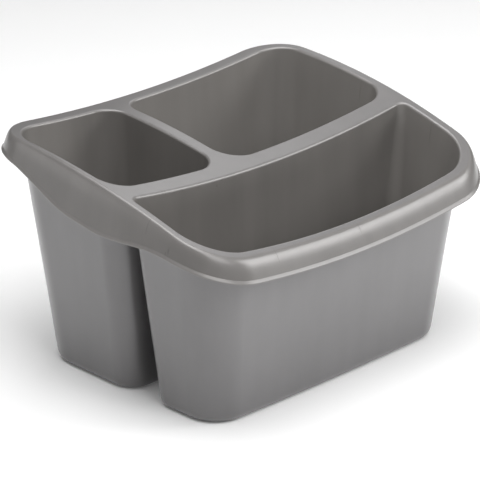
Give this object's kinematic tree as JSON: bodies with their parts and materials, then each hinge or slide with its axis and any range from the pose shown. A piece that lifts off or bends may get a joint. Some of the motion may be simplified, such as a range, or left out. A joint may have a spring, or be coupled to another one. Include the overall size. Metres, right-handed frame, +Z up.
{
  "type": "cleaning caddy",
  "caption": "Open three-compartment cleaning caddy in satin silver-grey plastic, with a curved sloping rim, deep side grips and separate tapered tubs.",
  "frame": {"origin": "centre of the bounding box at floor level, where the three tub floors rest", "axes": "+X to the right along the front, +Y to the back, +Z up"},
  "size_m": [0.355, 0.2716, 0.1985],
  "materials": {
    "silver_grey_plastic": "satin with a fine metallic pigment"
  },
  "bodies": {
    "root": {"front_deck": "silver_grey_plastic", "left_deck": "silver_grey_plastic", "right_deck": "silver_grey_plastic", "rim_edge": "silver_grey_plastic", "front_skirt": "silver_grey_plastic", "back_skirt": "silver_grey_plastic", "left_grip": "silver_grey_plastic", "right_grip": "silver_grey_plastic", "front_tub_wall": "silver_grey_plastic", "front_tub_foot": "silver_grey_plastic", "front_tub_floor": "silver_grey_plastic", "left_cup_wall": "silver_grey_plastic", "left_cup_foot": "silver_grey_plastic", "left_cup_floor": "silver_grey_plastic", "right_cup_wall": "silver_grey_plastic", "right_cup_foot": "silver_grey_plastic", "right_cup_floor": "silver_grey_plastic"}
  },
  "joints": []
}
